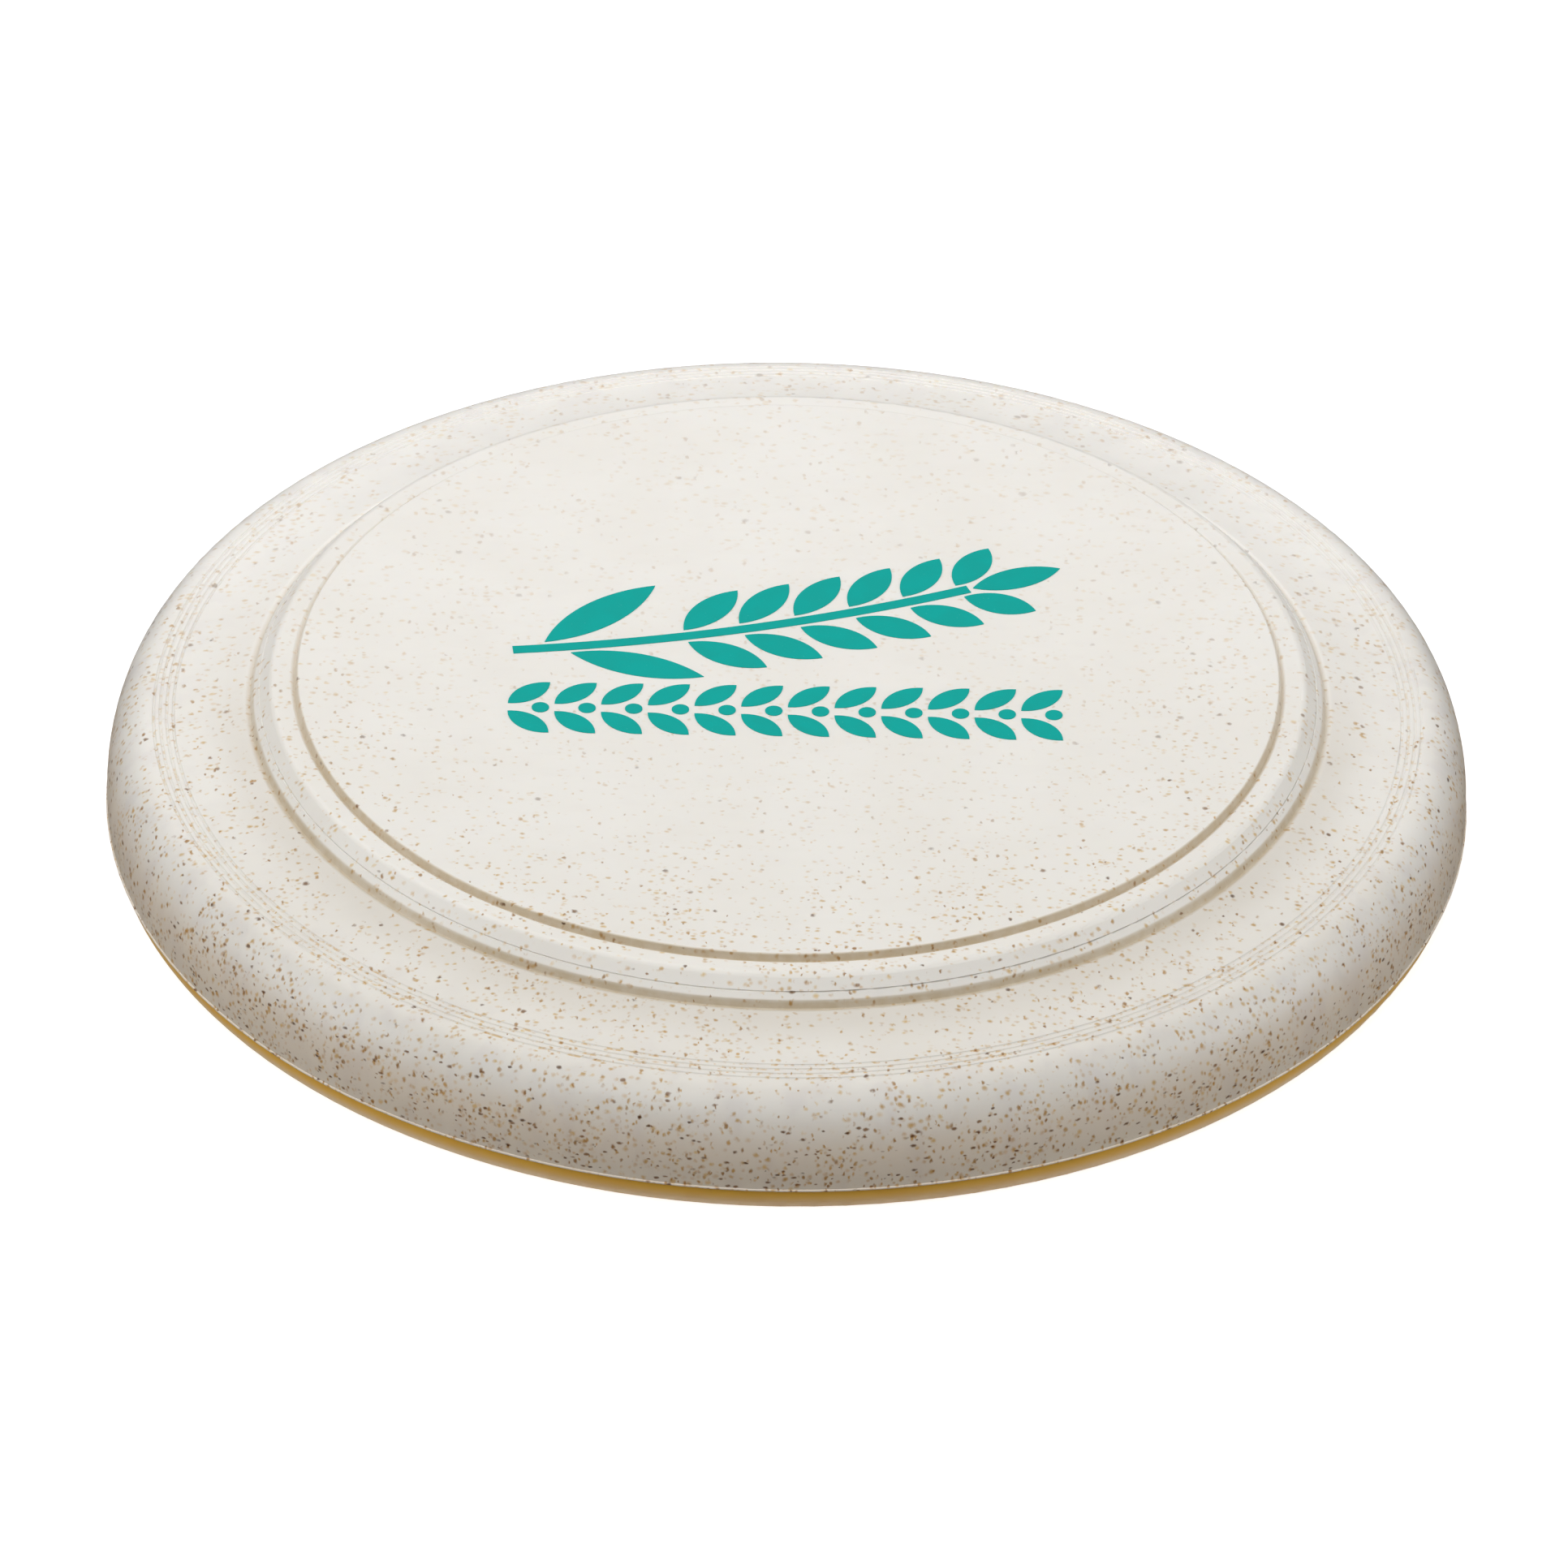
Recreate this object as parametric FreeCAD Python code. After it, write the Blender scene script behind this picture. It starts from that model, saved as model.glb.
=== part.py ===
import FreeCAD, Part
import math
import os

from FreeCAD import Vector

# Closed flying disc, 235 mm across, standing rim down.  Units are millimetres, +Z is up, and the
# origin is the centre of the circle that the rim rests on.  Every moulded piece is a section
# (radius, height) turned about Z.  On the disc's top and underside the sections are given as
# (radius, depth below the crown, corner radius).

# Overall
DISC_RADIUS = 117.5        # outermost point, on the lip line
CROWN_HEIGHT = 30.2        # flat crown above the resting face
WALL = 1.8                 # usual wall of the moulding

# Top face, from the axis outwards: flat crown, crease, raised band, crease, gently falling ring
CROWN_RADIUS = 84.45
BAND_DEPTH = 1.0           # flat of the band, below the crown
BAND_SIDE_RADIUS = 88.9    # where the band's flat turns down
BAND_FOOT_RADIUS = 91.95
BAND_FOOT_DEPTH = 4.3
SLOPE_BEND_RADIUS = 101.0
SLOPE_BEND_DEPTH = 7.3
SLOPE_BEND_ROUND = 60.0
SHOULDER_RADIUS = 109.6    # where the falling ring meets the shoulder
SHOULDER_DEPTH = 8.15
TOP_SECTION = (            # radius, depth below the crown, corner rounding
    (0, 0, 0),
    (CROWN_RADIUS, 0, 0.35),
    (84.95, 1.5, 0.15),    # first crease
    (85.6, BAND_DEPTH, 0.4),
    (BAND_SIDE_RADIUS, BAND_DEPTH, 1.6),
    (BAND_FOOT_RADIUS, BAND_FOOT_DEPTH, 0.35),
    (92.6, 5.75, 0.25),    # second crease
    (93.5, 5.5, 1.2),
    (SLOPE_BEND_RADIUS, SLOPE_BEND_DEPTH, SLOPE_BEND_ROUND),
    (SHOULDER_RADIUS, SHOULDER_DEPTH, 0),
)

# Fine grooves: one in the band's sloping side, four near the shoulder
BAND_GROOVE_RADIUS = 91.0
BAND_GROOVE_CUTTER_RADIUS = 0.16
GROOVE_COUNT = 4
GROOVE_FIRST_RADIUS = 105.8
GROOVE_PITCH = 1.13
GROOVE_CUTTER_RADIUS = 0.3
GROOVE_CUTTER_LIFT = 0.1   # cutter centre above the surface

# Rim wall, with a small bead along the lip
WALL_RADIUS = 117.3
WALL_TOP_HEIGHT = 8.0      # where the shoulder has turned upright
LIP_HEIGHT = 4.65          # underside of the moulding
LIP_BEAD_HEIGHT = 0.45

# Underside, which follows the top face at the usual wall and ends in a thicker lip
INNER_SHOULDER_RADIUS = 107.4
INNER_WALL_RADIUS = 115.0
INNER_WALL_TOP_HEIGHT = 10.4
INNER_LIP_RADIUS = 113.85
INNER_LIP_LAND = 1.0
INNER_LIP_ROUND = 0.8
UNDERSIDE_SECTION = (      # radius, depth below the crown, corner rounding
    (SLOPE_BEND_RADIUS, SLOPE_BEND_DEPTH + WALL, SLOPE_BEND_ROUND),
    (92.8, 7.4, 0.6),
    (91.75, 7.0, 0.6),
    (91.05, 6.0, 0.8),
    (88.1, BAND_DEPTH + WALL, 1.0),
    (83.8, BAND_DEPTH + WALL, 0.4),
    (83.1, WALL, 0.7),
    (0, WALL, 0),
)

# Rim ring, seated under the lip with a tongue in a groove of the moulding
TONGUE_INNER_RADIUS = 115.1
TONGUE_OUTER_RADIUS = 116.3
TONGUE_HEIGHT = 2.1
RING_TOP_RADIUS = 117.0
RING_SIDE_MIDDLE = (116.5, 2.2)
RING_SIDE_FOOT = (115.35, 0.35)
FOOT_OUTER_RADIUS = 115.13 # corners of the resting face, before they are rounded
FOOT_INNER_RADIUS = 113.0
FOOT_ROUND = 0.35

# Marks that the mould leaves under the crown
GATE_RECESS_RADIUS = 6.0
GATE_RECESS_DEPTH = 0.5
GATE_STUB_RADIUS = 1.6
GATE_STUB_HEIGHT = 0.35
OVERLAP = 0.1              # of the stub into the crown, so that they join
EJECTOR_COUNT = 6
EJECTOR_CIRCLE_RADIUS = 62.0
EJECTOR_RADIUS = 4.0
EJECTOR_DEPTH = 0.2

# Printed motif: a wheat stalk over a braided border, in ink films on the crown
INK = 0.12
STALK_FOOT = (-47.5, 5.5)
STALK_MIDDLE = (-6.0, 13.5)
STALK_TIP = (31.0, 26.5)
STALK_WIDTH = 2.2
BLADES = (                 # distance along the stalk, side, length, width, angle to the stalk in degrees
    (0.07, 1, 26.0, 7.4, 36.0),
    (0.12, -1, 24.0, 6.6, 25.0),
)
GRAIN_PAIRS = 6
GRAIN_SPAN = (0.37, 0.98)
GRAIN_LENGTH = (15.5, 13.0)
GRAIN_WIDTH = 5.9
GRAIN_ANGLE = 41.0
GRAIN_GAP = 0.8            # between the stalk's side and a root
TIP_GRAIN_LENGTH = 16.5
BORDER_COUNT = 12
BORDER_CENTRE_Y = -12.0
BORDER_HALF_WIDTH = 48.0
BORDER_LEAF = (9.6, 4.2)
BORDER_LEAF_ANGLE = 42.0
BORDER_LEAF_OFFSET = 1.2   # of a leaf's root from the border's centre line
BORDER_DOT_RADIUS = 1.5
BORDER_DOT_SHIFT = 0.7     # of a dot from its leaves' roots, in border pitches


def point(radius, height):
    return Vector(radius, 0, height)


def line(a, b):
    return Part.LineSegment(a, b).toShape()


def arc(a, middle, b):
    return Part.Arc(a, middle, b).toShape()


def rounded_path(corners):
    """Edges along (radius, height, corner radius) triples; the two ends are left sharp."""
    edges = []
    start = point(*corners[0][:2])
    for (r, z, rounding), following in zip(corners[1:-1], corners[2:]):
        corner = point(r, z)
        back = (start - corner).normalize()
        ahead = (point(*following[:2]) - corner).normalize()
        half_angle = back.getAngle(ahead) / 2
        if rounding == 0:
            edges.append(line(start, corner))
            start = corner
            continue
        reach = rounding / math.tan(half_angle)
        first = corner + back * reach
        last = corner + ahead * reach
        inward = (back + ahead).normalize()
        middle = corner + inward * (rounding / math.sin(half_angle) - rounding)
        edges.append(line(start, first))
        edges.append(arc(first, middle, last))
        start = last
    edges.append(line(start, point(*corners[-1][:2])))
    return edges


def below_crown(corners):
    return [(r, CROWN_HEIGHT - depth, rounding) for r, depth, rounding in corners]


def quarter_ellipse(r, z, slope, wall_r, wall_z):
    """Curve from (r, z), falling at the given slope, round to upright at (wall_r, wall_z)."""
    width = wall_r - r
    height = z - wall_z
    k = slope * width / height
    sine = k / (1 - k)
    a = width / (1 - sine)
    b = height / math.sqrt(1 - sine ** 2)
    centre = point(wall_r - a, wall_z)
    ellipse = Part.Ellipse(centre + Vector(0, 0, b), centre + Vector(a, 0, 0), centre)
    return Part.ArcOfEllipse(ellipse, math.asin(sine), math.pi / 2).toShape()


def turned(edges):
    """Solid of revolution about Z from the edges of a closed section."""
    section = Part.Face(Part.Wire(edges))
    return section.revolve(Vector(0, 0, 0), Vector(0, 0, 1), 360)


def disc(radius, height, x, y, z):
    return Part.makeCylinder(radius, height, Vector(x, y, z))


def height_between(radius, start, end):
    """Height of the top face on its straight run between two (radius, depth) points."""
    fall = (end[1] - start[1]) / (end[0] - start[0])
    return CROWN_HEIGHT - start[1] - fall * (radius - start[0])


def slope_height(radius):
    return height_between(radius, (SLOPE_BEND_RADIUS, SLOPE_BEND_DEPTH), (SHOULDER_RADIUS, SHOULDER_DEPTH))


def band_side_height(radius):
    return height_between(radius, (BAND_SIDE_RADIUS, BAND_DEPTH), (BAND_FOOT_RADIUS, BAND_FOOT_DEPTH))


def shell_section():
    fall = (SHOULDER_DEPTH - SLOPE_BEND_DEPTH) / (SHOULDER_RADIUS - SLOPE_BEND_RADIUS)
    top = rounded_path(below_crown(TOP_SECTION))
    shoulder = quarter_ellipse(
        SHOULDER_RADIUS, slope_height(SHOULDER_RADIUS), fall, WALL_RADIUS, WALL_TOP_HEIGHT)
    bead_top = point(WALL_RADIUS, LIP_HEIGHT + LIP_BEAD_HEIGHT)
    bead_middle = point(DISC_RADIUS, LIP_HEIGHT + LIP_BEAD_HEIGHT / 2)
    bead_foot = point(WALL_RADIUS, LIP_HEIGHT)
    wall = line(point(WALL_RADIUS, WALL_TOP_HEIGHT), bead_top)
    bead = arc(bead_top, bead_middle, bead_foot)
    tongue_groove_top = LIP_HEIGHT + TONGUE_HEIGHT
    lip = rounded_path((
        (WALL_RADIUS, LIP_HEIGHT, 0),
        (TONGUE_OUTER_RADIUS, LIP_HEIGHT, 0),
        (TONGUE_OUTER_RADIUS, tongue_groove_top, 0),
        (TONGUE_INNER_RADIUS, tongue_groove_top, 0),
        (TONGUE_INNER_RADIUS, LIP_HEIGHT, 0),
        (INNER_LIP_RADIUS, LIP_HEIGHT, 0),
        (INNER_LIP_RADIUS, LIP_HEIGHT + INNER_LIP_LAND, INNER_LIP_ROUND),
        (INNER_WALL_RADIUS, INNER_WALL_TOP_HEIGHT, 0),
    ))
    inner_shoulder_height = slope_height(INNER_SHOULDER_RADIUS) - WALL
    inner_shoulder = quarter_ellipse(
        INNER_SHOULDER_RADIUS, inner_shoulder_height, fall, INNER_WALL_RADIUS, INNER_WALL_TOP_HEIGHT)
    underside = rounded_path(
        [(INNER_SHOULDER_RADIUS, inner_shoulder_height, 0)] + below_crown(UNDERSIDE_SECTION))
    axis = line(point(0, CROWN_HEIGHT - WALL), point(0, CROWN_HEIGHT))
    return top + [shoulder, wall, bead] + lip + [inner_shoulder] + underside + [axis]


def make_disc_shell():
    shell = turned(shell_section())
    band_groove = Vector(0, 0, band_side_height(BAND_GROOVE_RADIUS))
    shell = shell.cut(Part.makeTorus(BAND_GROOVE_RADIUS, BAND_GROOVE_CUTTER_RADIUS, band_groove))
    for index in range(GROOVE_COUNT):
        radius = GROOVE_FIRST_RADIUS + index * GROOVE_PITCH
        centre = Vector(0, 0, slope_height(radius) + GROOVE_CUTTER_LIFT)
        shell = shell.cut(Part.makeTorus(radius, GROOVE_CUTTER_RADIUS, centre))

    ceiling = CROWN_HEIGHT - WALL
    recess_floor = ceiling + GATE_RECESS_DEPTH
    shell = shell.cut(disc(GATE_RECESS_RADIUS, GATE_RECESS_DEPTH, 0, 0, ceiling))
    stub = disc(GATE_STUB_RADIUS, GATE_STUB_HEIGHT + OVERLAP, 0, 0, recess_floor - GATE_STUB_HEIGHT)
    shell = shell.fuse(stub)
    for index in range(EJECTOR_COUNT):
        angle = 2 * math.pi * index / EJECTOR_COUNT
        x = EJECTOR_CIRCLE_RADIUS * math.cos(angle)
        y = EJECTOR_CIRCLE_RADIUS * math.sin(angle)
        shell = shell.cut(disc(EJECTOR_RADIUS, EJECTOR_DEPTH, x, y, ceiling))
    return shell


def make_rim_ring():
    tongue_top = LIP_HEIGHT + TONGUE_HEIGHT
    upper = rounded_path((
        (INNER_LIP_RADIUS, LIP_HEIGHT, 0),
        (TONGUE_INNER_RADIUS, LIP_HEIGHT, 0),
        (TONGUE_INNER_RADIUS, tongue_top, 0),
        (TONGUE_OUTER_RADIUS, tongue_top, 0),
        (TONGUE_OUTER_RADIUS, LIP_HEIGHT, 0),
        (RING_TOP_RADIUS, LIP_HEIGHT, 0),
    ))
    side = arc(point(RING_TOP_RADIUS, LIP_HEIGHT), point(*RING_SIDE_MIDDLE), point(*RING_SIDE_FOOT))
    lower = rounded_path((
        (*RING_SIDE_FOOT, 0),
        (FOOT_OUTER_RADIUS, 0, FOOT_ROUND),
        (FOOT_INNER_RADIUS, 0, FOOT_ROUND),
        (INNER_LIP_RADIUS, LIP_HEIGHT, 0),
    ))
    return turned(upper + [side] + lower)


def film(outline):
    """Ink film from a closed flat outline on the crown."""
    return Part.Face(Part.Wire(outline)).extrude(Vector(0, 0, INK))


def leaf(x, y, length, width, angle):
    """Pointed leaf with its root at (x, y): two arcs that meet at the root and the tip."""
    root = Vector(x, y, CROWN_HEIGHT)
    along = Vector(math.cos(angle), math.sin(angle), 0)
    across = Vector(-along.y, along.x, 0)
    tip = root + along * length
    middle = root + along * (length / 2)
    left = arc(root, middle + across * (width / 2), tip)
    right = arc(tip, middle - across * (width / 2), root)
    return film([left, right])


def stalk_curve():
    return Part.Arc(*(Vector(x, y, CROWN_HEIGHT) for x, y in (STALK_FOOT, STALK_MIDDLE, STALK_TIP)))


def stalk_at(fraction):
    """Place on the stalk's centre line, and its direction in radians."""
    curve = stalk_curve()
    parameter = curve.FirstParameter + fraction * (curve.LastParameter - curve.FirstParameter)
    place = curve.value(parameter)
    forward = curve.tangent(parameter)[0]
    return place, math.atan2(forward.y, forward.x)


def beside_stalk(fraction, side):
    """Place just clear of the stalk on one side (+1 or -1), and the stalk's direction."""
    place, heading = stalk_at(fraction)
    offset = side * (STALK_WIDTH / 2 + GRAIN_GAP)
    x = place.x - math.sin(heading) * offset
    y = place.y + math.cos(heading) * offset
    return x, y, heading


def make_print_stalk():
    def sample(fraction, side):
        place, heading = stalk_at(fraction)
        half = side * STALK_WIDTH / 2
        return place + Vector(-math.sin(heading) * half, math.cos(heading) * half, 0)

    left = [sample(fraction, 1) for fraction in (0, 0.5, 1)]
    right = [sample(fraction, -1) for fraction in (1, 0.5, 0)]
    outline = [arc(*left), line(left[-1], right[0]), arc(*right), line(right[-1], left[0])]
    films = [film(outline)]
    for fraction, side, length, width, angle in BLADES:
        x, y, heading = beside_stalk(fraction, side)
        films.append(leaf(x, y, length, width, heading + side * math.radians(angle)))
    return Part.makeCompound(films)


def make_print_grains():
    films = []
    for index in range(GRAIN_PAIRS):
        step = index / (GRAIN_PAIRS - 1)
        fraction = GRAIN_SPAN[0] + step * (GRAIN_SPAN[1] - GRAIN_SPAN[0])
        length = GRAIN_LENGTH[0] + step * (GRAIN_LENGTH[1] - GRAIN_LENGTH[0])
        for side in (1, -1):
            x, y, heading = beside_stalk(fraction, side)
            films.append(leaf(x, y, length, GRAIN_WIDTH, heading + side * math.radians(GRAIN_ANGLE)))
    tip, heading = stalk_at(1.0)
    root_x = tip.x + GRAIN_GAP * math.cos(heading)
    root_y = tip.y + GRAIN_GAP * math.sin(heading)
    films.append(leaf(root_x, root_y, TIP_GRAIN_LENGTH, GRAIN_WIDTH, heading))
    return Part.makeCompound(films)


def make_print_border():
    films = []
    pitch = 2 * BORDER_HALF_WIDTH / BORDER_COUNT
    length, width = BORDER_LEAF
    for index in range(BORDER_COUNT):
        x = -BORDER_HALF_WIDTH + index * pitch
        for side in (1, -1):
            angle = side * math.radians(BORDER_LEAF_ANGLE)
            films.append(leaf(x, BORDER_CENTRE_Y + side * BORDER_LEAF_OFFSET, length, width, angle))
        dot_x = x + BORDER_DOT_SHIFT * pitch
        films.append(disc(BORDER_DOT_RADIUS, INK, dot_x, BORDER_CENTRE_Y, CROWN_HEIGHT))
    return Part.makeCompound(films)


NODES = {
    "disc_shell": make_disc_shell,
    "rim_ring": make_rim_ring,
    "print_stalk": make_print_stalk,
    "print_grains": make_print_grains,
    "print_border": make_print_border,
}

os.makedirs("parts", exist_ok=True)
for name, make in NODES.items():
    shape = make()
    shape.exportStep("parts/" + name + ".step")
    box = shape.optimalBoundingBox(False, False)
    print(name, "valid", shape.isValid(), "solids", len(shape.Solids), "radius", round(box.XMax, 2),
          "height", round(box.ZMin, 2), "to", round(box.ZMax, 2))
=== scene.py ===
import math

import bpy
from mathutils import Matrix, Vector


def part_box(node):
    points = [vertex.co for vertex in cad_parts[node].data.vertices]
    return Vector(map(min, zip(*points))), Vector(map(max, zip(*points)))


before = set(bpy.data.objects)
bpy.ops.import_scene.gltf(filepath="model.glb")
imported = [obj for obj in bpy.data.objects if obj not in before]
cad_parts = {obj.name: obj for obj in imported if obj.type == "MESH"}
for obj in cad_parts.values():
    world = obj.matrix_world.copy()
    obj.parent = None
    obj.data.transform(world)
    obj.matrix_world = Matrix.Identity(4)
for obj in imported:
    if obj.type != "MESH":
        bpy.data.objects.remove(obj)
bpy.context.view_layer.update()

# Camera, lamps and floor are in metres. The materials measure in millimetres from the centre of
# the circle that the disc rests on, and so do all names that end in _MM.
MM = 0.001

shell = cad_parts["disc_shell"]
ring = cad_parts["rim_ring"]
prints = [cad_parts[name] for name in ("print_stalk", "print_grains", "print_border")]

crown_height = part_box("disc_shell")[1].z


# ---------------------------------------------------------------- camera

CAMERA_ELEVATION = math.radians(33.97)
CAMERA_ROLL = math.radians(0.87)
CAMERA_DISTANCE = 2.791
CAMERA_LENS_MM = 372.67
CAMERA_SENSOR_MM = 36.0
CAMERA_CLIP = (0.1, 50.0)
AIM_BELOW = 0.006895             # how far under and beside the crown's centre the camera looks,
AIM_BESIDE = -0.000165           # as a share of the distance


def add_camera():
    crown = Vector((0, 0, crown_height))
    back = Vector((0, -math.cos(CAMERA_ELEVATION), math.sin(CAMERA_ELEVATION)))
    up = Vector((0, math.sin(CAMERA_ELEVATION), math.cos(CAMERA_ELEVATION)))
    right = Vector((1, 0, 0))
    place = crown + back * CAMERA_DISTANCE
    aim = crown + (right * AIM_BESIDE - up * AIM_BELOW) * CAMERA_DISTANCE
    data = bpy.data.cameras.new("camera")
    data.sensor_width = CAMERA_SENSOR_MM
    data.lens = CAMERA_LENS_MM
    data.clip_start, data.clip_end = CAMERA_CLIP
    camera = bpy.data.objects.new("camera", data)
    bpy.context.scene.collection.objects.link(camera)
    turn = (aim - place).to_track_quat("-Z", "Y").to_matrix().to_4x4()
    roll = Matrix.Rotation(CAMERA_ROLL, 4, "Z")
    camera.matrix_world = Matrix.Translation(place) @ turn @ roll
    bpy.context.scene.camera = camera


# ---------------------------------------------------------------- light and floor

DOME_AXIS = (0, -0.10, 1)        # the brightest direction
DOME_STRENGTH = 0.68
DOME_STOPS = (                   # 0 is away from the axis, 1 along it
    (0.0, (1.9, 1.7, 1.4)),
    (0.20, (0.07, 0.055, 0.04)),
    (0.58, (0.05, 0.04, 0.03)),
    (0.75, (0.30, 0.285, 0.27)),
    (0.86, (1.2, 1.2, 1.2)),
    (1.0, (1.5, 1.5, 1.5)),
)
LAMPS = (                        # name, place, size, watts
    ("top_softbox", (-0.15, 0.50, 0.86), 1.3, 2.75),
    ("front_softbox", (-0.20, -0.70, 0.90), 0.9, 2.45),
    ("left_softbox", (-1.15, -0.22, 0.35), 0.7, 3.2),
    ("right_softbox", (1.15, -0.22, 0.35), 0.7, 3.3),
)
FLOOR_HALF = 8.0
FLOOR_DROP = 0.0002              # keeps the floor clear of the foot's face
FLOOR_COLOUR = (0.6, 0.6, 0.6, 1)
FLOOR_ROUGHNESS = 0.8
FLOOR_GLOW_COLOUR = (1, 1, 1, 1)
FLOOR_GLOW = 0.75                # lifts the floor to the white of a studio sweep


def add_area_light(name, place, size, watts):
    """Round softbox aimed at the disc."""
    data = bpy.data.lights.new(name, "AREA")
    data.shape = "DISK"
    data.size = size
    data.energy = watts
    lamp = bpy.data.objects.new(name, data)
    bpy.context.scene.collection.objects.link(lamp)
    lamp.location = place
    lamp.rotation_mode = "QUATERNION"
    lamp.rotation_quaternion = (-Vector(place)).to_track_quat("-Z", "Y")


def add_world():
    """Soft dome: bright overhead, dim at the horizon, and a warm white bounce from below."""
    world = bpy.data.worlds.new("studio")
    bpy.context.scene.world = world
    world.use_nodes = True
    nodes, links = world.node_tree.nodes, world.node_tree.links
    nodes.clear()
    place = nodes.new("ShaderNodeTexCoord")
    tilt = nodes.new("ShaderNodeVectorMath")
    tilt.operation = "DOT_PRODUCT"
    tilt.inputs[1].default_value = Vector(DOME_AXIS).normalized()
    lift = nodes.new("ShaderNodeMapRange")
    lift.inputs["From Min"].default_value = -1.0
    ramp = nodes.new("ShaderNodeValToRGB")
    background = nodes.new("ShaderNodeBackground")
    output = nodes.new("ShaderNodeOutputWorld")
    stops = ramp.color_ramp.elements
    while len(stops) < len(DOME_STOPS):
        stops.new(0.5)
    for stop, (position, colour) in zip(stops, DOME_STOPS):
        stop.position = position
        stop.color = (*colour, 1)
    background.inputs["Strength"].default_value = DOME_STRENGTH
    links.new(place.outputs["Generated"], tilt.inputs[0])
    links.new(tilt.outputs["Value"], lift.inputs["Value"])
    links.new(lift.outputs["Result"], ramp.inputs["Fac"])
    links.new(ramp.outputs["Color"], background.inputs["Color"])
    links.new(background.outputs[0], output.inputs["Surface"])


def add_floor():
    """Pale floor that casts no light of its own on the disc."""
    mesh = bpy.data.meshes.new("floor")
    half = FLOOR_HALF
    corners = [(-half, -half, 0), (half, -half, 0), (half, half, 0), (-half, half, 0)]
    mesh.from_pydata(corners, [], [(0, 1, 2, 3)])
    floor = bpy.data.objects.new("floor", mesh)
    bpy.context.scene.collection.objects.link(floor)
    floor.location.z = -FLOOR_DROP
    material = bpy.data.materials.new("pale_floor")
    material.use_nodes = True
    shader = material.node_tree.nodes["Principled BSDF"]
    shader.inputs["Base Color"].default_value = FLOOR_COLOUR
    shader.inputs["Roughness"].default_value = FLOOR_ROUGHNESS
    shader.inputs["Emission Color"].default_value = FLOOR_GLOW_COLOUR
    shader.inputs["Emission Strength"].default_value = FLOOR_GLOW
    mesh.materials.append(material)
    floor.visible_diffuse = False
    floor.visible_glossy = False


# ---------------------------------------------------------------- node helpers

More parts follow.
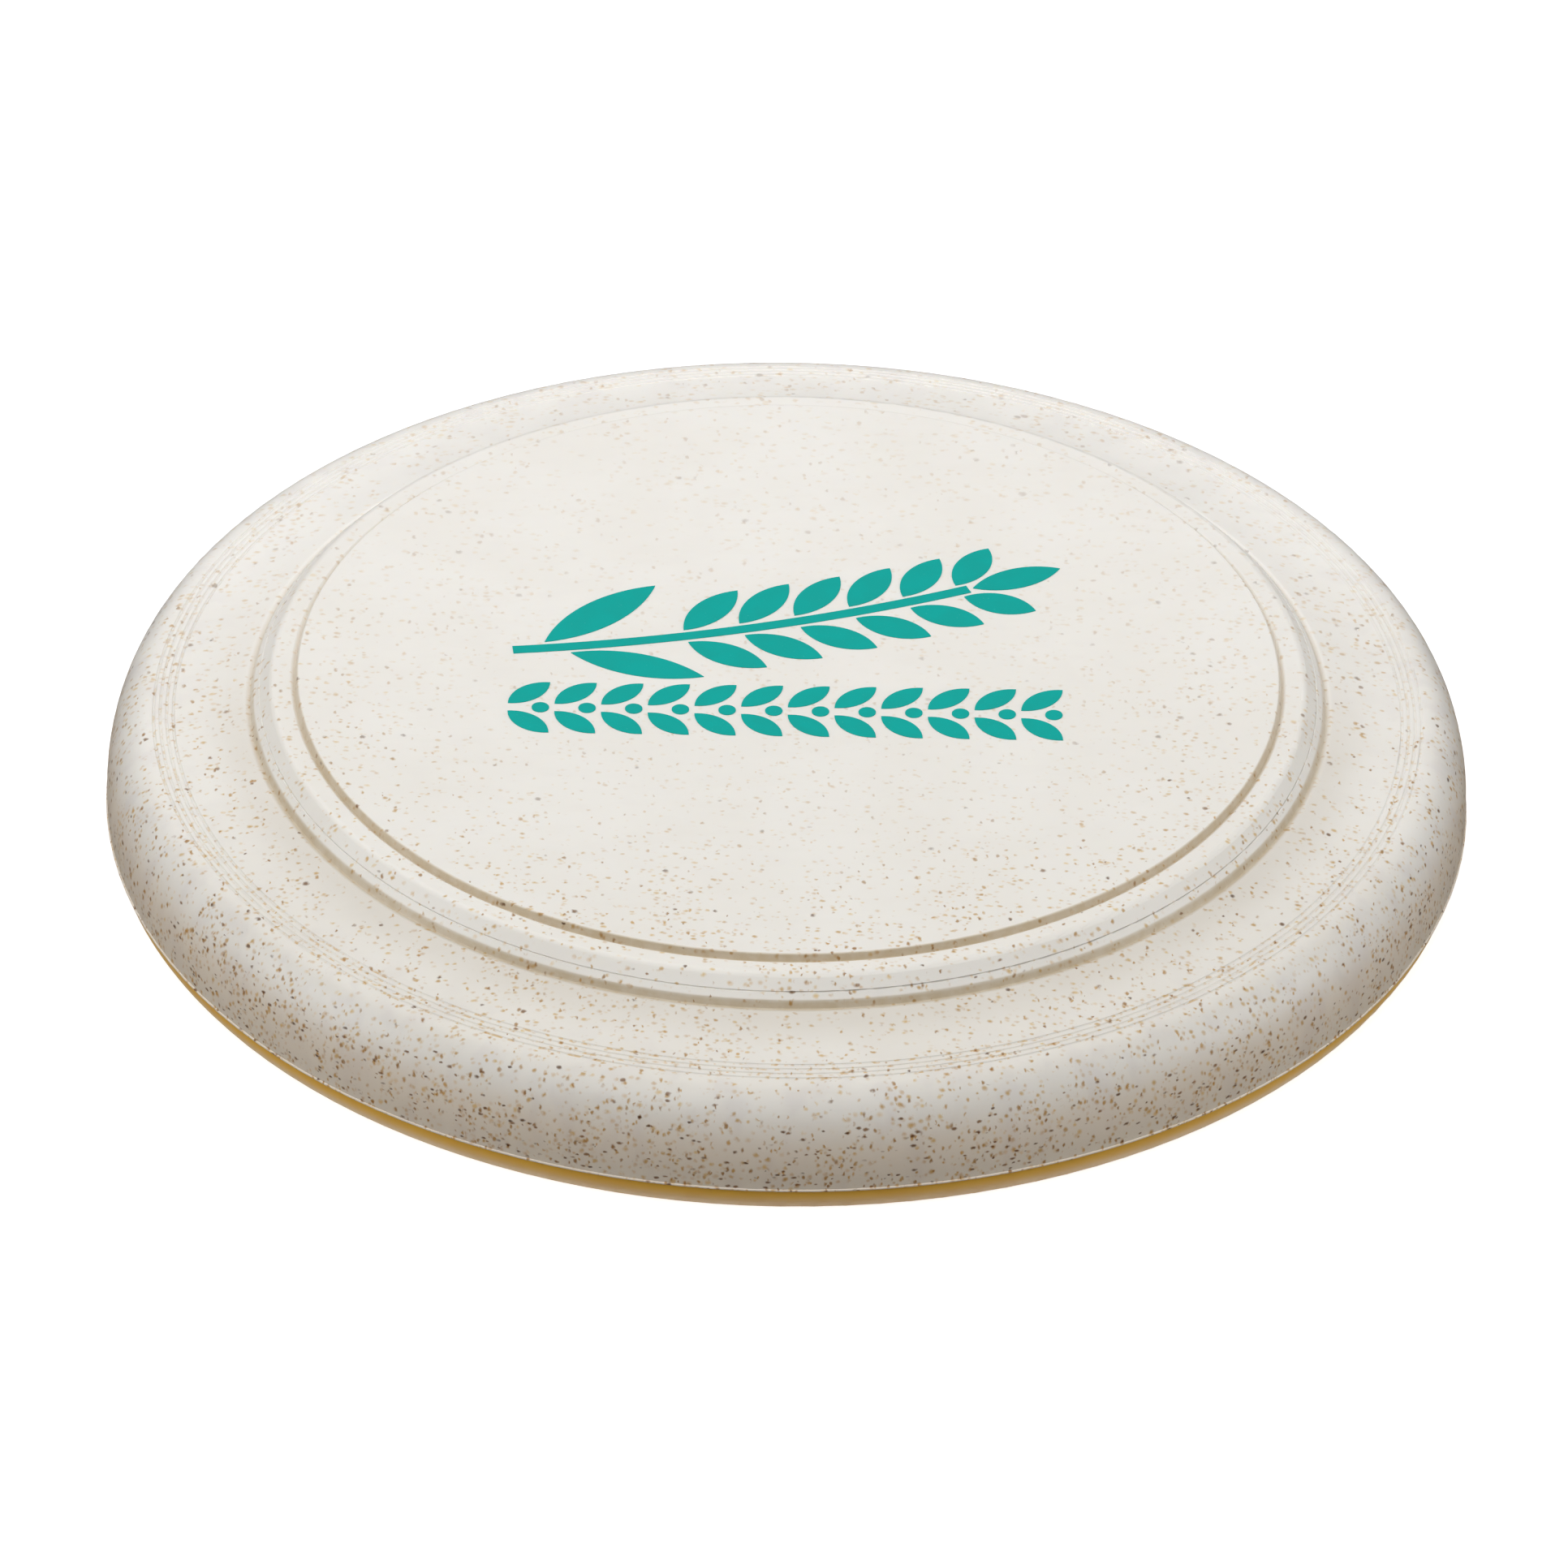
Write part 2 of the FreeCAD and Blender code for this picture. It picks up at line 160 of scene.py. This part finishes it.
class Recipe:
    """A material's node tree, with short calls for the nodes that these materials use.
    A value is a number, a tuple or an output socket."""

    def __init__(self, name):
        self.material = bpy.data.materials.new(name)
        self.material.use_nodes = True
        self.nodes = self.material.node_tree.nodes
        self.links = self.material.node_tree.links
        self.shader = self.nodes["Principled BSDF"]
        place = self.nodes.new("ShaderNodeTexCoord")
        self.mm = self.vector("SCALE", place.outputs["Object"], scale=1 / MM)
        split = self.nodes.new("ShaderNodeSeparateXYZ")
        self.links.new(self.mm, split.inputs[0])
        self.across = split.outputs["X"]
        self.along = split.outputs["Y"]
        self.height = split.outputs["Z"]
        flat = self.nodes.new("ShaderNodeCombineXYZ")
        self.links.new(self.across, flat.inputs["X"])
        self.links.new(self.along, flat.inputs["Y"])
        length = self.nodes.new("ShaderNodeVectorMath")
        length.operation = "LENGTH"
        self.links.new(flat.outputs[0], length.inputs[0])
        self.radius = length.outputs["Value"]

    def feed(self, socket, value):
        if isinstance(value, (int, float, tuple)):
            socket.default_value = value
        else:
            self.links.new(value, socket)

    def set(self, name, value):
        """Sets or links one of the shader's own sockets."""
        self.feed(self.shader.inputs[name], value)

    def vector(self, operation, a, b=None, scale=None):
        node = self.nodes.new("ShaderNodeVectorMath")
        node.operation = operation
        self.feed(node.inputs[0], a)
        if b is not None:
            self.feed(node.inputs[1], b)
        if scale is not None:
            self.feed(node.inputs["Scale"], scale)
        return node.outputs[0]

    def math(self, operation, a, b):
        node = self.nodes.new("ShaderNodeMath")
        node.operation = operation
        self.feed(node.inputs[0], a)
        self.feed(node.inputs[1], b)
        return node.outputs[0]

    def product(self, first, *others):
        for other in others:
            first = self.math("MULTIPLY", first, other)
        return first

    def ramp(self, value, start, end, at_start=0.0, at_end=1.0, smooth=True):
        """Goes from at_start to at_end while the value goes from start to end."""
        node = self.nodes.new("ShaderNodeMapRange")
        node.interpolation_type = "SMOOTHSTEP" if smooth else "LINEAR"
        self.feed(node.inputs["Value"], value)
        self.feed(node.inputs["From Min"], start)
        self.feed(node.inputs["From Max"], end)
        self.feed(node.inputs["To Min"], at_start)
        self.feed(node.inputs["To Max"], at_end)
        return node.outputs["Result"]

    def band(self, value, start, full_from, full_to, end):
        """1 between full_from and full_to, falling smoothly to 0 at start and end."""
        rise = self.ramp(value, start, full_from)
        fall = self.ramp(value, full_to, end, at_start=1.0, at_end=0.0)
        return self.product(rise, fall)

    def noise(self, scale, detail=2.0, roughness=0.5, stretch=(1, 1, 1), shift=(0, 0, 0)):
        """Noise around 0.5, with about as many lumps in a millimetre as the scale says."""
        mapping = self.nodes.new("ShaderNodeMapping")
        self.links.new(self.mm, mapping.inputs["Vector"])
        mapping.inputs["Scale"].default_value = stretch
        mapping.inputs["Location"].default_value = shift
        node = self.nodes.new("ShaderNodeTexNoise")
        self.links.new(mapping.outputs[0], node.inputs["Vector"])
        node.inputs["Scale"].default_value = scale
        node.inputs["Detail"].default_value = detail
        node.inputs["Roughness"].default_value = roughness
        return node.outputs["Fac"]

    def mix(self, factor, a, b, blend="MIX"):
        node = self.nodes.new("ShaderNodeMix")
        node.data_type = "RGBA"
        node.blend_type = blend
        self.feed(node.inputs["Factor"], factor)
        self.feed(node.inputs["A"], a)
        self.feed(node.inputs["B"], b)
        return node.outputs["Result"]

    def tint(self, colour, tint, *masks):
        """The colour multiplied by the tint, where all the masks are 1."""
        return self.mix(self.product(*masks), colour, tint, "MULTIPLY")

    def bump(self, height, strength, distance_mm, normal=None):
        node = self.nodes.new("ShaderNodeBump")
        node.inputs["Strength"].default_value = strength
        node.inputs["Distance"].default_value = distance_mm * MM
        self.links.new(height, node.inputs["Height"])
        if normal is not None:
            self.links.new(normal, node.inputs["Normal"])
        return node.outputs["Normal"]


# ---------------------------------------------------------------- speckled plastic

CREAM = (0.850, 0.824, 0.775, 1)
CREAM_PALE = (0.868, 0.846, 0.803, 1)
CREAM_STREAK = (0.828, 0.795, 0.738, 1)
CREAM_BACK_LIGHT = (0.920, 0.896, 0.852, 1)   # painted light on the slope outside the band, at the back

# Tints that the cream is multiplied by.
FRONT_SHADE_TINT = (0.91, 0.91, 0.90, 1)       # painted shade on the top face, towards the front
SLOPE_SHADE_TINT = (0.91, 0.90, 0.885, 1)      # painted shade again, on the slope outside the band, towards the front
WALL_SHADE_TINT = (0.97, 0.89, 0.795, 1)       # painted warm shade on the upright rim, where the fibre is densest
RECESS_SHADE_TINT = (0.90, 0.885, 0.865, 1)    # painted shade just outside the band, fading outwards
HAZE_TINT = (0.86, 0.84, 0.88, 1)        # greyish patches towards the rim
GROOVE_FIBRE_TINT = (0.88, 0.68, 0.42, 1)
GROOVE_SHADE_TINT = (0.93, 0.925, 0.92, 1)

# Where a change starts and where it is complete: heights, radii, and places along Y.
WALL_HEIGHTS_MM = (20.5, 11.0)
FLECK_HEIGHTS_MM = (21.0, 7.0)           # from the number on top to the number at the rim's foot
FLECK_RADII_MM = (50.0, 112.0)
BACK_TO_FRONT_MM = (80.0, -100.0)               # from the back of the disc to its front
HAZE_RADII_MM = (96.0, 114.0)

# Radii of rings that are tinted: start, full from, full to, end.
RECESS_RADII_MM = (92.6, 93.4, 93.8, 103.0)
SLOPE_RADII_MM = (92.6, 93.4, 111.0, 116.0)

# The creases and grooves are where the moulding has them. Each crease has its own tint, painted shade
# together with the tan of the dust and fibre it holds.
CREASES_MM = (
    ((84.1, 84.6, 84.95, 85.55), (0.72, 0.61, 0.45, 1)),
    ((91.7, 92.2, 92.6, 93.4), (0.70, 0.60, 0.45, 1)),
)
CREASE_FLOOR_MM = 23.6                   # the same radii on the underside lie lower than this
GROOVES_MM = (105.75, 106.88, 108.01, 109.14)
GROOVE_FLOOR_MM = 20.5                   # as for the creases
GROOVE_HALF_MM = 0.35                    # from the middle of a groove to where its tint ends
GROOVE_CORE_MM = 0.1                     # and to where it is full

# Flecks lie in cells, at most one in each. The cell and the largest fleck are in millimetres. On top
# and at the foot of the rim, this share of the cells has a fleck. Turn, stretch and shift keep the
# cells of one layer from lining up with another's, and a stretched cell makes a longer fleck.
FLECK_WOBBLE_MM = (0.7, -0.5, 0.4)       # how far the cells are bent out of line
FLECK_WOBBLE_SCALE = 1.3
SMALLEST_FLECK = 0.5                     # of the largest
FLECK_LAYERS = (
    dict(cell=1.50, size=0.76, on_top=0.54, at_foot=0.80, softness=0.85, strength=0.95,
         dark=(0.62, 0.38, 0.12, 1), pale=(0.90, 0.71, 0.40, 1),
         turn=(0.3, 0.5, 0.2), stretch=(1.0, 1.4, 1.0), shift=(11, 3, 7)),
    dict(cell=1.65, size=0.74, on_top=0.28, at_foot=1.20, softness=0.75, strength=0.95,
         dark=(0.38, 0.20, 0.06, 1), pale=(0.76, 0.50, 0.20, 1),
         turn=(1.1, 0.2, 0.9), stretch=(1.6, 1.0, 1.0), shift=(29, 41, 5)),
    dict(cell=2.00, size=0.74, on_top=0.10, at_foot=1.30, softness=0.7, strength=0.95,
         dark=(0.15, 0.08, 0.04, 1), pale=(0.40, 0.23, 0.11, 1),
         turn=(0.6, 1.3, 0.4), stretch=(1.0, 1.0, 1.8), shift=(53, 17, 31)),
    dict(cell=1.30, size=0.74, on_top=0.55, at_foot=0.90, softness=1.0, strength=0.9,
         dark=(0.74, 0.54, 0.34, 1), pale=(0.94, 0.81, 0.62, 1),
         turn=(0.9, 0.1, 1.7), stretch=(1.0, 1.3, 1.0), shift=(71, 67, 43)),
)


def scatter_flecks(recipe, layer, share, spread):
    """Mask of one layer's flecks, and a random number for each fleck's shade."""
    bend = recipe.noise(FLECK_WOBBLE_SCALE, detail=1.0, shift=layer["shift"])
    offset = recipe.vector("SCALE", FLECK_WOBBLE_MM, scale=recipe.math("SUBTRACT", bend, 0.5))
    mapping = recipe.nodes.new("ShaderNodeMapping")
    recipe.links.new(recipe.vector("ADD", recipe.mm, offset), mapping.inputs["Vector"])
    mapping.inputs["Location"].default_value = layer["shift"]
    mapping.inputs["Rotation"].default_value = layer["turn"]
    mapping.inputs["Scale"].default_value = tuple(s / layer["cell"] for s in layer["stretch"])
    cells = recipe.nodes.new("ShaderNodeTexVoronoi")
    cells.inputs["Scale"].default_value = 1.0
    recipe.links.new(mapping.outputs[0], cells.inputs["Vector"])
    chance = recipe.nodes.new("ShaderNodeSeparateColor")
    recipe.links.new(cells.outputs["Color"], chance.inputs[0])
    kept = recipe.math("LESS_THAN", chance.outputs["Red"], share)
    largest = layer["size"] / layer["cell"]
    edge = recipe.ramp(chance.outputs["Green"], start=0.0, end=1.0,
                       at_start=SMALLEST_FLECK * largest, at_end=largest, smooth=False)
    edge = recipe.product(edge, spread)
    core = recipe.product(edge, 1.0 - layer["softness"])
    spot = recipe.ramp(cells.outputs["Distance"], core, edge, at_start=1.0, at_end=0.0)
    return recipe.product(kept, spot), chance.outputs["Blue"]


def add_flecks(recipe, colour, toward_front):
    """Fibre flecks. There are more of them towards the rim, where the plastic has flowed furthest,
    and on the side where the mould filled last, and they gather in clumps."""
    outward = recipe.ramp(recipe.radius, *FLECK_RADII_MM, at_start=0.55, smooth=False)
    last = recipe.ramp(toward_front, start=0.0, end=1.0, at_start=0.45, smooth=False)
    amount = recipe.product(outward, last)
    clumps = recipe.noise(0.11, detail=3.0, roughness=0.6)
    clumps = recipe.ramp(clumps, start=0.36, end=0.64, at_start=0.45, at_end=1.35)
    plenty = recipe.product(amount, clumps)
    contrast = recipe.ramp(amount, start=0.3, end=0.8, at_start=0.3)
    spread = recipe.ramp(toward_front, start=0.0, end=0.7, at_start=1.35, at_end=1.0)
    foot = recipe.ramp(recipe.height, *FLECK_HEIGHTS_MM, smooth=False)
    for layer in FLECK_LAYERS:
        number = recipe.ramp(foot, start=0.0, end=1.0,
                             at_start=layer["on_top"], at_end=layer["at_foot"], smooth=False)
        share = recipe.product(plenty, number)
        mask, shade = scatter_flecks(recipe, layer, share, spread)
        tint = recipe.mix(shade, layer["dark"], layer["pale"])
        colour = recipe.tint(colour, tint, mask, contrast, layer["strength"])
    return colour


def add_large_tints(recipe, colour, toward_front):
    """Slow changes of tone over the top face, the rim and the slope outside the band: painted shade
    towards the front, painted shade in the recess outside the band, painted light on that slope at
    the back, painted warm shade on the rim, and greyish haze patches.
    """
    wall = recipe.ramp(recipe.height, *WALL_HEIGHTS_MM)
    top_face = recipe.math("SUBTRACT", 1.0, wall)
    # Painted shade: the top face grows darker towards the front.
    colour = recipe.tint(colour, FRONT_SHADE_TINT, toward_front, top_face)
    # Painted warm shade on the upright rim.
    colour = recipe.tint(colour, WALL_SHADE_TINT, wall)
    # Painted shade in the recess just outside the band, at the front only.
    recess_shade = recipe.band(recipe.radius, *RECESS_RADII_MM)
    colour = recipe.tint(colour, RECESS_SHADE_TINT, recess_shade, recipe.ramp(toward_front, start=0.2, end=0.6))
    slope = recipe.product(recipe.band(recipe.radius, *SLOPE_RADII_MM), top_face)
    # Painted light: the slope outside the band is paler at the back.
    back_light = recipe.product(slope, recipe.ramp(toward_front, start=0.3, end=0.0))
    colour = recipe.mix(back_light, colour, CREAM_BACK_LIGHT)
    # Painted shade on the slope outside the band, towards the front.
    colour = recipe.tint(colour, SLOPE_SHADE_TINT, slope, recipe.ramp(toward_front, start=0.5, end=1.0))
    haze = recipe.noise(0.2, detail=3.0, stretch=(1.0, 1.0, 0.4), shift=(5, 9, 2))
    haze = recipe.ramp(haze, start=0.46, end=0.68)
    outward = recipe.ramp(recipe.radius, *HAZE_RADII_MM, at_start=0.05, at_end=0.35)
    return recipe.tint(colour, HAZE_TINT, haze, outward)


def add_creases(recipe, colour, toward_front):
    """The two creases are darkened by painted shade and tinted by the dust and fibre they hold, less
    of both towards the back.
    """
    outside = recipe.math("GREATER_THAN", recipe.height, CREASE_FLOOR_MM)
    patchy = recipe.ramp(recipe.noise(0.5, detail=3.0), start=0.3, end=0.7, at_start=0.8)
    shade_and_fibre = recipe.product(patchy, recipe.ramp(toward_front, start=0.2, end=0.75, at_start=0.4))
    for radii, tint in CREASES_MM:
        crease = recipe.band(recipe.radius, *radii)
        # Painted shade in the crease, together with the tan of its dust and fibre.
        colour = recipe.tint(colour, tint, crease, outside, shade_and_fibre)
    return colour


def add_grooves(recipe, colour, toward_front):
    """The fine grooves are greyer towards the back, a painted shade, and hold fibre in short
    lengths towards the front."""
    outside = recipe.math("GREATER_THAN", recipe.height, GROOVE_FLOOR_MM)
    lengths = recipe.ramp(recipe.noise(0.75, shift=(31, 8, 3)), start=0.52, end=0.66)
    toward_back = recipe.ramp(toward_front, start=0.1, end=0.5, at_start=1.0, at_end=0.0)
    for middle in GROOVES_MM:
        groove = recipe.band(recipe.radius, middle - GROOVE_HALF_MM, middle - GROOVE_CORE_MM,
                             middle + GROOVE_CORE_MM, middle + GROOVE_HALF_MM)
        # Painted grey shade in the grooves, towards the back.
        colour = recipe.tint(colour, GROOVE_SHADE_TINT, groove, outside, toward_back)
        colour = recipe.tint(colour, GROOVE_FIBRE_TINT, groove, outside, lengths, toward_front)
    return colour


def make_speckled_plastic():
    recipe = Recipe("speckled_plastic")
    clouds = recipe.ramp(recipe.noise(0.045, detail=3.0), start=0.35, end=0.65)
    colour = recipe.mix(clouds, CREAM, CREAM_PALE)
    streaks = recipe.noise(0.35, detail=4.0, roughness=0.6, stretch=(0.25, 1.0, 1.0))
    streaks = recipe.ramp(streaks, start=0.45, end=0.75, at_end=0.25)
    colour = recipe.mix(streaks, colour, CREAM_STREAK)
    toward_front = recipe.ramp(recipe.along, *BACK_TO_FRONT_MM)
    colour = add_large_tints(recipe, colour, toward_front)
    colour = add_flecks(recipe, colour, toward_front)
    colour = add_creases(recipe, colour, toward_front)
    colour = add_grooves(recipe, colour, toward_front)
    recipe.set("Base Color", colour)
    gloss = recipe.noise(0.12, detail=4.0)
    recipe.set("Roughness", recipe.ramp(gloss, start=0.3, end=0.7, at_start=0.32, at_end=0.46))
    recipe.set("Specular IOR Level", 0.5)
    recipe.set("Subsurface Weight", 0.15)
    recipe.set("Subsurface Radius", (1.0, 0.8, 0.55))
    recipe.set("Subsurface Scale", 2 * MM)
    grain = recipe.bump(recipe.noise(1.6, detail=3.0), strength=0.25, distance_mm=0.02)
    waves = recipe.bump(recipe.noise(0.08), strength=0.3, distance_mm=0.15, normal=grain)
    recipe.set("Normal", waves)
    return recipe.material


# ---------------------------------------------------------------- painted amber shadow and glow, and ink

AMBER = (1.0, 0.56, 0.05, 1)
AMBER_FOOT = (0.97, 0.68, 0.36, 1)       # painted glow, paler at the foot, where light gets through the edge
AMBER_FOOT_HEIGHTS_MM = (0.4, 3.8)
AMBER_CLOUD = (0.80, 0.42, 0.05, 1)
INK = (0.0, 0.360, 0.318, 1)
INK_PALE = (0.001, 0.378, 0.336, 1)
INK_PINHOLE = (0.10, 0.48, 0.43, 1)      # the cream shows through


# The amber ring under the rim paints the warm contact shadow and glow that light through the plastic
# leaves below the rim.
def make_amber_shadow_glow():
    recipe = Recipe("amber_shadow_glow")
    foot = recipe.ramp(recipe.height, *AMBER_FOOT_HEIGHTS_MM, at_start=1.0, at_end=0.0)
    colour = recipe.mix(foot, AMBER, AMBER_FOOT)
    clouds = recipe.ramp(recipe.noise(0.2), start=0.3, end=0.7, at_end=0.2)
    recipe.set("Base Color", recipe.mix(clouds, colour, AMBER_CLOUD))
    gloss = recipe.ramp(recipe.noise(0.5), start=0.3, end=0.7, at_start=0.30, at_end=0.40)
    recipe.set("Roughness", gloss)
    recipe.set("Subsurface Weight", 0.1)
    recipe.set("Subsurface Radius", (1.0, 0.6, 0.1))
    recipe.set("Subsurface Scale", 1 * MM)
    waves = recipe.bump(recipe.noise(0.9, detail=3.0), strength=0.15, distance_mm=0.03)
    recipe.set("Normal", waves)
    return recipe.material


def make_teal_ink():
    recipe = Recipe("teal_ink")
    patches = recipe.noise(0.25, detail=3.0)
    colour = recipe.mix(recipe.ramp(patches, start=0.35, end=0.65), INK, INK_PALE)
    pinholes = recipe.ramp(recipe.noise(2.6, detail=1.0), start=0.72, end=0.80, at_end=0.4)
    recipe.set("Base Color", recipe.mix(pinholes, colour, INK_PINHOLE))
    gloss = recipe.ramp(patches, start=0.3, end=0.7, at_start=0.50, at_end=0.62)
    recipe.set("Roughness", gloss)
    recipe.set("Specular IOR Level", 0.12)
    grain = recipe.bump(recipe.noise(1.8), strength=0.15, distance_mm=0.02)
    recipe.set("Normal", grain)
    return recipe.material


def dress(obj, material):
    obj.data.materials.clear()
    obj.data.materials.append(material)


# ---------------------------------------------------------------- scene

bpy.context.scene.view_settings.view_transform = "Standard"
bpy.context.scene.view_settings.look = "None"
add_camera()
add_world()
add_floor()
for lamp in LAMPS:
    add_area_light(*lamp)

dress(shell, make_speckled_plastic())
# The ring carries the painted amber shadow and glow.
dress(ring, make_amber_shadow_glow())
ink = make_teal_ink()
for film in prints:
    dress(film, ink)
